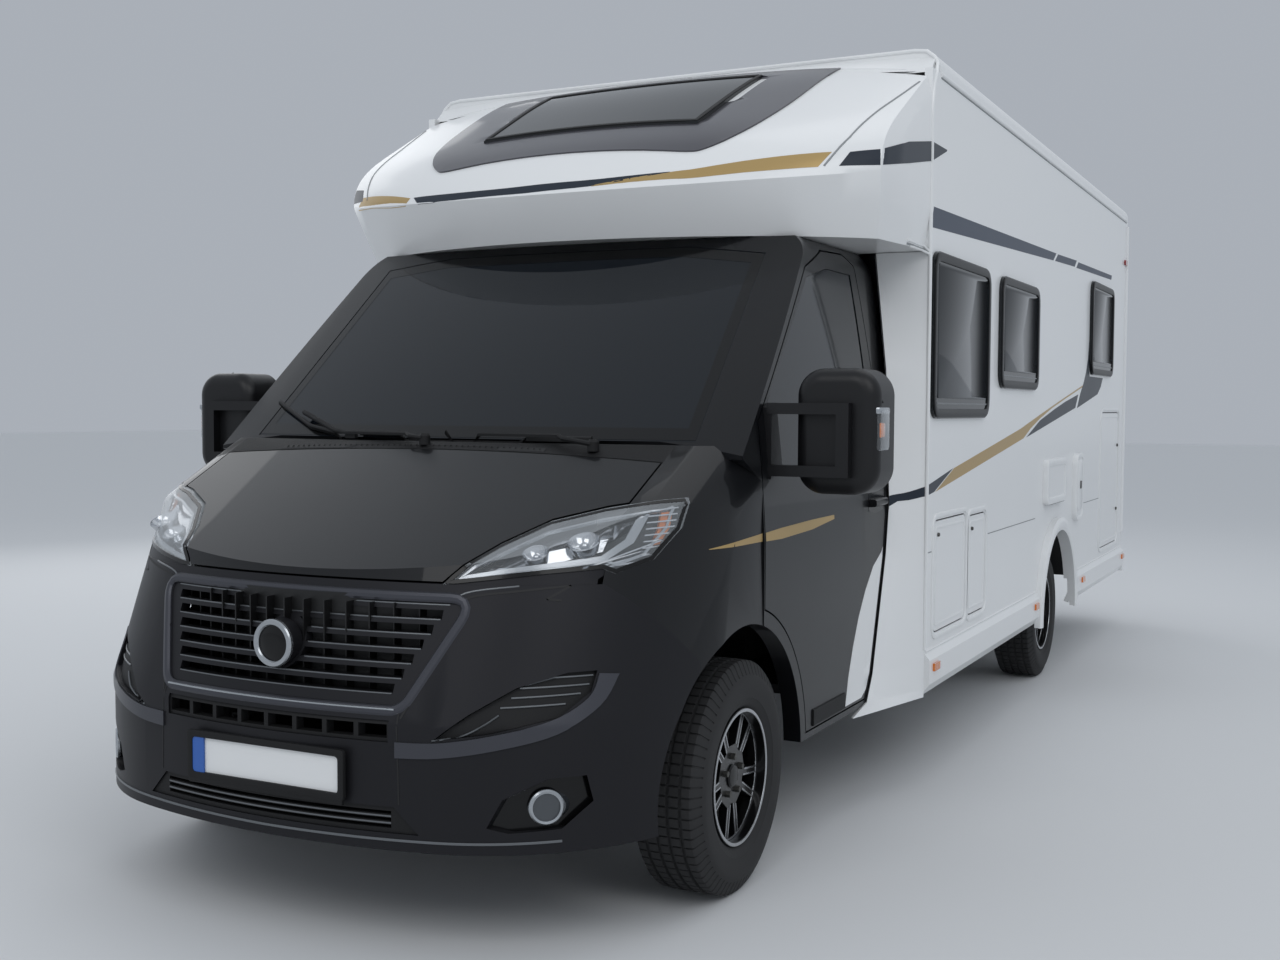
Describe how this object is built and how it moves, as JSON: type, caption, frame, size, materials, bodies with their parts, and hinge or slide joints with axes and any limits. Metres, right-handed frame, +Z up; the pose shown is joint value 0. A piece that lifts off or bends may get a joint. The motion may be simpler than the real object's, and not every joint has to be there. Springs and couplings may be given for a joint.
{
  "type": "low-profile coachbuilt motorhome",
  "caption": "Low-profile motorhome: a van cab and a long coach body on a two-axle chassis, with opening doors, bonnet and lockers, and steered front wheels.",
  "frame": {"origin": "on the ground, under the middle of the vehicle's length and width", "axes": "+X towards the nose, +Y to the vehicle's left, +Z up"},
  "size_m": [7.4, 2.69, 2.89],
  "materials": {
    "cab_paint": "gloss",
    "body_white": "gloss",
    "bumper_grey": "satin",
    "black_plastic": "matte",
    "window": "polished",
    "lamp_lens": "polished",
    "red_lens": "gloss",
    "amber_lens": "gloss",
    "plate_white": "satin",
    "tyre": "matte",
    "alloy": "satin",
    "chassis_black": "satin",
    "cast_dark": "rough",
    "steel_grey": "satin",
    "seat_cloth": "woven",
    "trim_grey": "matte",
    "roof_lens": "gloss"
  },
  "bodies": {
    "motorhome": {"cab_floor": "trim_grey", "cab_seats": "seat_cloth", "cab_shell": "cab_paint", "chassis_rails": "chassis_black", "corner_fairings": "cab_paint", "cross_members": "chassis_black", "dashboard": "trim_grey", "engine_block": "cast_dark", "exhaust": "steel_grey", "floor_panel": "body_white", "front_bumper": "bumper_grey", "front_lamps": "lamp_lens", "front_suspension": "cast_dark", "front_wings": "cab_paint", "grille": "bumper_grey", "lower_grilles": "black_plastic", "marker_lamps": "amber_lens", "number_plates": "plate_white", "overcab_cap": "body_white", "overcab_skylight": "window", "rear_axle": "cast_dark", "rear_bumper": "body_white", "rear_lamps": "red_lens", "rear_wall": "body_white", "roof_lights": "roof_lens", "roof_panel": "body_white", "scuttle_panel": "black_plastic", "side_wall_left": "body_white", "side_wall_right": "body_white", "skirts": "body_white", "steering_wheel": "black_plastic", "underfloor_tanks": "black_plastic", "vent_hatches": "black_plastic", "wheel_housings": "black_plastic", "windows_left": "window", "windows_right": "window", "windscreen": "window"},
    "wheel_front_left": {"wheel_front_left": "alloy", "tyre_front_left": "tyre"},
    "wheel_front_right": {"wheel_front_right": "alloy", "tyre_front_right": "tyre"},
    "wheel_rear_left": {"wheel_rear_left": "alloy", "tyre_rear_left": "tyre"},
    "wheel_rear_right": {"wheel_rear_right": "alloy", "tyre_rear_right": "tyre"},
    "knuckle_left": {"knuckle_left": "cast_dark"},
    "knuckle_right": {"knuckle_right": "cast_dark"},
    "cab_door_left": {"cab_door_left": "cab_paint", "cab_glass_left": "window", "mirror_left": "black_plastic"},
    "cab_door_right": {"cab_door_right": "cab_paint", "cab_glass_right": "window", "mirror_right": "black_plastic"},
    "bonnet": {"bonnet": "cab_paint"},
    "entrance_door": {"entrance_door": "body_white", "entrance_door_window": "window"},
    "garage_door_left": {"garage_door_left": "body_white"},
    "garage_door_right": {"garage_door_right": "body_white"},
    "gas_locker_flap": {"gas_locker_flap": "body_white"},
    "service_flap": {"service_flap": "body_white"}
  },
  "joints": [
    {"name": "steer_left", "type": "hinge", "parent": "motorhome", "child": "knuckle_left", "pos_m": [2.752, 0.775, 0.35], "axis": [0, 0, 1], "range_deg": [-35, 35]},
    {"name": "steer_right", "type": "hinge", "parent": "motorhome", "child": "knuckle_right", "pos_m": [2.752, -0.775, 0.35], "axis": [0, 0, 1], "range_deg": [-35, 35]},
    {"name": "roll_front_left", "type": "hinge", "parent": "knuckle_left", "child": "wheel_front_left", "pos_m": [2.752, 0.905, 0.35], "axis": [0, 1, 0], "continuous": true},
    {"name": "roll_front_right", "type": "hinge", "parent": "knuckle_right", "child": "wheel_front_right", "pos_m": [2.752, -0.905, 0.35], "axis": [0, 1, 0], "continuous": true},
    {"name": "roll_rear_left", "type": "hinge", "parent": "motorhome", "child": "wheel_rear_left", "pos_m": [-1.283, 0.99, 0.35], "axis": [0, 1, 0], "continuous": true},
    {"name": "roll_rear_right", "type": "hinge", "parent": "motorhome", "child": "wheel_rear_right", "pos_m": [-1.283, -0.99, 0.35], "axis": [0, 1, 0], "continuous": true},
    {"name": "cab_door_left_hinge", "type": "hinge", "parent": "motorhome", "child": "cab_door_left", "pos_m": [2.629, 1.025, 0.8], "axis": [0, 0, -1], "range_deg": [0, 70]},
    {"name": "cab_door_right_hinge", "type": "hinge", "parent": "motorhome", "child": "cab_door_right", "pos_m": [2.629, -1.025, 0.8], "axis": [0, 0, 1], "range_deg": [0, 70]},
    {"name": "bonnet_hinge", "type": "hinge", "parent": "motorhome", "child": "bonnet", "pos_m": [2.941, 0, 1.318], "axis": [0, -1, 0], "range_deg": [0, 50]},
    {"name": "entrance_door_hinge", "type": "hinge", "parent": "motorhome", "child": "entrance_door", "pos_m": [0.244, -1.15, 1.4], "axis": [0, 0, 1], "range_deg": [0, 95]},
    {"name": "garage_door_left_hinge", "type": "hinge", "parent": "motorhome", "child": "garage_door_left", "pos_m": [-2.701, 1.15, 1], "axis": [0, 0, -1], "range_deg": [0, 110]},
    {"name": "garage_door_right_hinge", "type": "hinge", "parent": "motorhome", "child": "garage_door_right", "pos_m": [-2.701, -1.15, 1], "axis": [0, 0, 1], "range_deg": [0, 110]},
    {"name": "gas_locker_hinge", "type": "hinge", "parent": "motorhome", "child": "gas_locker_flap", "pos_m": [1.184, 1.15, 0.8], "axis": [0, 0, -1], "range_deg": [0, 110]},
    {"name": "service_flap_hinge", "type": "hinge", "parent": "motorhome", "child": "service_flap", "pos_m": [0.346, 1.15, 0.8], "axis": [0, 0, 1], "range_deg": [0, 110]}
  ],
  "couplings": [
    {"joint": "steer_right", "follows": "steer_left", "ratio": 1}
  ]
}
